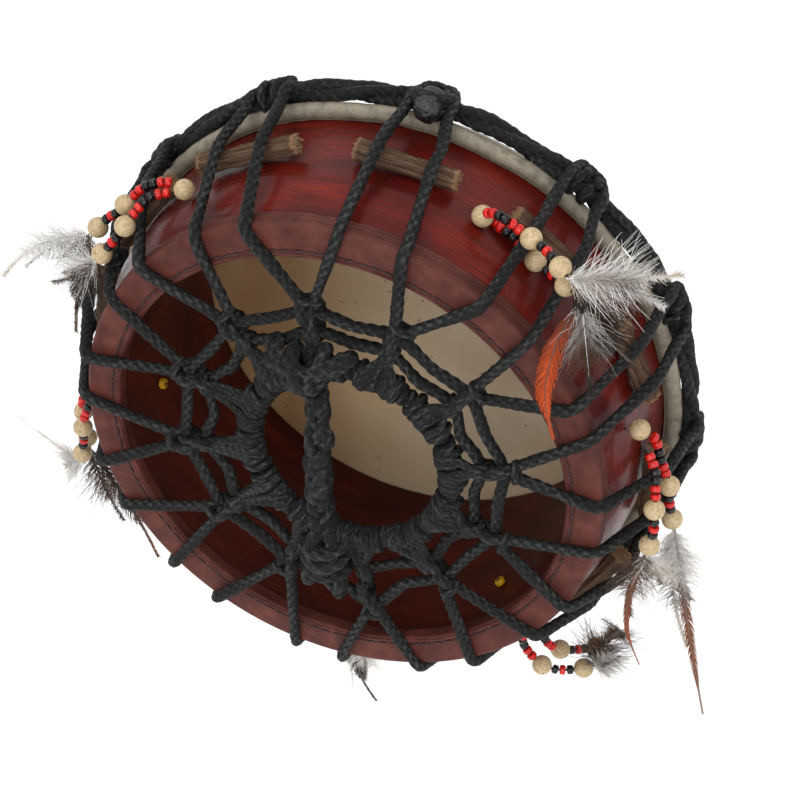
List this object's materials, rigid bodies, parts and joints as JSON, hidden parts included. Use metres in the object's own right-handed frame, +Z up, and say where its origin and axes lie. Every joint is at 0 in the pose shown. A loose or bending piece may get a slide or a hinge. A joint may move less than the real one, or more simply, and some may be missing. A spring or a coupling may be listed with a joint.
{
  "type": "frame drum",
  "caption": "Rope-laced frame drum seen from its open back: red stained wooden shell, leather-bound rim, rope net with a braided hand grip, tuning sticks and hanging beaded feather charms.",
  "frame": {"origin": "on the drum's axis in the plane of the rope lacing, at the centre of the hand hold", "axes": "+Y along the drum's axis from the open back towards the drum head, +Z up"},
  "size_m": [0.4714, 0.1745, 0.4811],
  "materials": {
    "stained_wood": "glossy red stain",
    "binding_leather": "soft matt leather",
    "hoop_wood": "plain wood",
    "rawhide": "dry rawhide",
    "black_rope": "waxed fibre rope",
    "waxed_thread": "waxed thread",
    "charm_cord": "thin twisted cord",
    "amber_glass": "opaque glossy",
    "driftwood": "weathered bare wood",
    "bead_wood": "smooth bare wood",
    "red_glass": "opaque glossy",
    "black_glass": "opaque glossy",
    "feather": "soft feather barbs"
  },
  "bodies": {
    "drum": {"shell": "stained_wood", "rear_binding": "binding_leather", "binding_stitching": "waxed_thread", "flesh_hoop": "hoop_wood", "drum_head": "rawhide", "rope_ring": "black_rope", "ring_knot": "black_rope", "lacing": "black_rope", "outer_net_cord": "black_rope", "second_net_cord": "black_rope", "grip_ring_core": "black_rope", "grip_ring_wrap": "black_rope", "grip_hitches": "black_rope", "handle_braid": "black_rope", "handle_top_knot": "black_rope", "handle_bottom_knot": "black_rope", "stopper_beads": "amber_glass", "hole_ties": "charm_cord"},
    "stick_01": {"stick_01": "driftwood"},
    "stick_02": {"stick_02": "driftwood"},
    "stick_03": {"stick_03": "driftwood"},
    "stick_04": {"stick_04": "driftwood"},
    "stick_05": {"stick_05": "driftwood"},
    "stick_06": {"stick_06": "driftwood"},
    "stick_07": {"stick_07": "driftwood"},
    "stick_08": {"stick_08": "driftwood"},
    "stick_09": {"stick_09": "driftwood"},
    "stick_10": {"stick_10": "driftwood"},
    "stick_11": {"stick_11": "driftwood"},
    "stick_12": {"stick_12": "driftwood"},
    "charm_1": {"charm_1_string": "charm_cord", "charm_1_wood_beads": "bead_wood", "charm_1_red_beads": "red_glass", "charm_1_black_beads": "black_glass", "charm_1_feathers": "feather"},
    "charm_2": {"charm_2_string": "charm_cord", "charm_2_wood_beads": "bead_wood", "charm_2_red_beads": "red_glass", "charm_2_black_beads": "black_glass", "charm_2_feathers": "feather"},
    "charm_3": {"charm_3_string": "charm_cord", "charm_3_wood_beads": "bead_wood", "charm_3_red_beads": "red_glass", "charm_3_black_beads": "black_glass", "charm_3_feathers": "feather"},
    "charm_4": {"charm_4_string": "charm_cord", "charm_4_wood_beads": "bead_wood", "charm_4_red_beads": "red_glass", "charm_4_black_beads": "black_glass", "charm_4_feathers": "feather"},
    "charm_5": {"charm_5_string": "charm_cord", "charm_5_wood_beads": "bead_wood", "charm_5_red_beads": "red_glass", "charm_5_black_beads": "black_glass", "charm_5_feathers": "feather"},
    "charm_6": {"charm_6_string": "charm_cord", "charm_6_wood_beads": "bead_wood", "charm_6_red_beads": "red_glass", "charm_6_black_beads": "black_glass", "charm_6_feathers": "feather"}
  },
  "joints": [
    {"name": "stick_01_slide", "type": "slide", "parent": "drum", "child": "stick_01", "axis": [-0.0218, 0.9986, 0.0478], "range_m": [0, 0.005]},
    {"name": "stick_02_slide", "type": "slide", "parent": "drum", "child": "stick_02", "axis": [0.0068, 0.9986, 0.0521], "range_m": [0, 0.005]},
    {"name": "stick_03_slide", "type": "slide", "parent": "drum", "child": "stick_03", "axis": [0.0322, 0.9986, 0.0415], "range_m": [0, 0.005]},
    {"name": "stick_04_slide", "type": "slide", "parent": "drum", "child": "stick_04", "axis": [0.0478, 0.9986, 0.0218], "range_m": [0, 0.005]},
    {"name": "stick_05_slide", "type": "slide", "parent": "drum", "child": "stick_05", "axis": [0.0525, 0.9986, -0.003], "range_m": [0, 0.005]},
    {"name": "stick_06_slide", "type": "slide", "parent": "drum", "child": "stick_06", "axis": [0.0439, 0.9986, -0.0289], "range_m": [0, 0.005]},
    {"name": "stick_07_slide", "type": "slide", "parent": "drum", "child": "stick_07", "axis": [0.0227, 0.9986, -0.0474], "range_m": [0, 0.005]},
    {"name": "stick_08_slide", "type": "slide", "parent": "drum", "child": "stick_08", "axis": [-0.0047, 0.9986, -0.0523], "range_m": [0, 0.005]},
    {"name": "stick_09_slide", "type": "slide", "parent": "drum", "child": "stick_09", "axis": [-0.0314, 0.9986, -0.0421], "range_m": [0, 0.005]},
    {"name": "stick_10_slide", "type": "slide", "parent": "drum", "child": "stick_10", "axis": [-0.0483, 0.9986, -0.0206], "range_m": [0, 0.005]},
    {"name": "stick_11_slide", "type": "slide", "parent": "drum", "child": "stick_11", "axis": [-0.0522, 0.9986, 0.006], "range_m": [0, 0.005]},
    {"name": "stick_12_slide", "type": "slide", "parent": "drum", "child": "stick_12", "axis": [-0.0422, 0.9986, 0.0313], "range_m": [0, 0.005]},
    {"name": "charm_1_swing", "type": "hinge", "parent": "drum", "child": "charm_1", "pos_m": [-0.1062, 0.042, 0.13941], "axis": [0, 1, 0], "range_deg": [0, 75]},
    {"name": "charm_2_swing", "type": "hinge", "parent": "drum", "child": "charm_2", "pos_m": [0.07184, 0.047, 0.15985], "axis": [0.4099, 0, 0.9121], "range_deg": [-4, 4]},
    {"name": "charm_3_swing", "type": "hinge", "parent": "drum", "child": "charm_3", "pos_m": [0.17048, 0.041, 0.04061], "axis": [0, -1, 0], "range_deg": [0, 80]},
    {"name": "charm_4_swing", "type": "hinge", "parent": "drum", "child": "charm_4", "pos_m": [0.11451, 0.043, -0.13266], "axis": [1, 0, 0], "range_deg": [-30, 22]},
    {"name": "charm_5_swing", "type": "hinge", "parent": "drum", "child": "charm_5", "pos_m": [-0.06166, 0.043, -0.16404], "axis": [1, 0, 0], "range_deg": [-30, 18]},
    {"name": "charm_6_swing", "type": "hinge", "parent": "drum", "child": "charm_6", "pos_m": [-0.17319, 0.056, -0.02681], "axis": [0, 1, 0], "range_deg": [0, 55]}
  ]
}
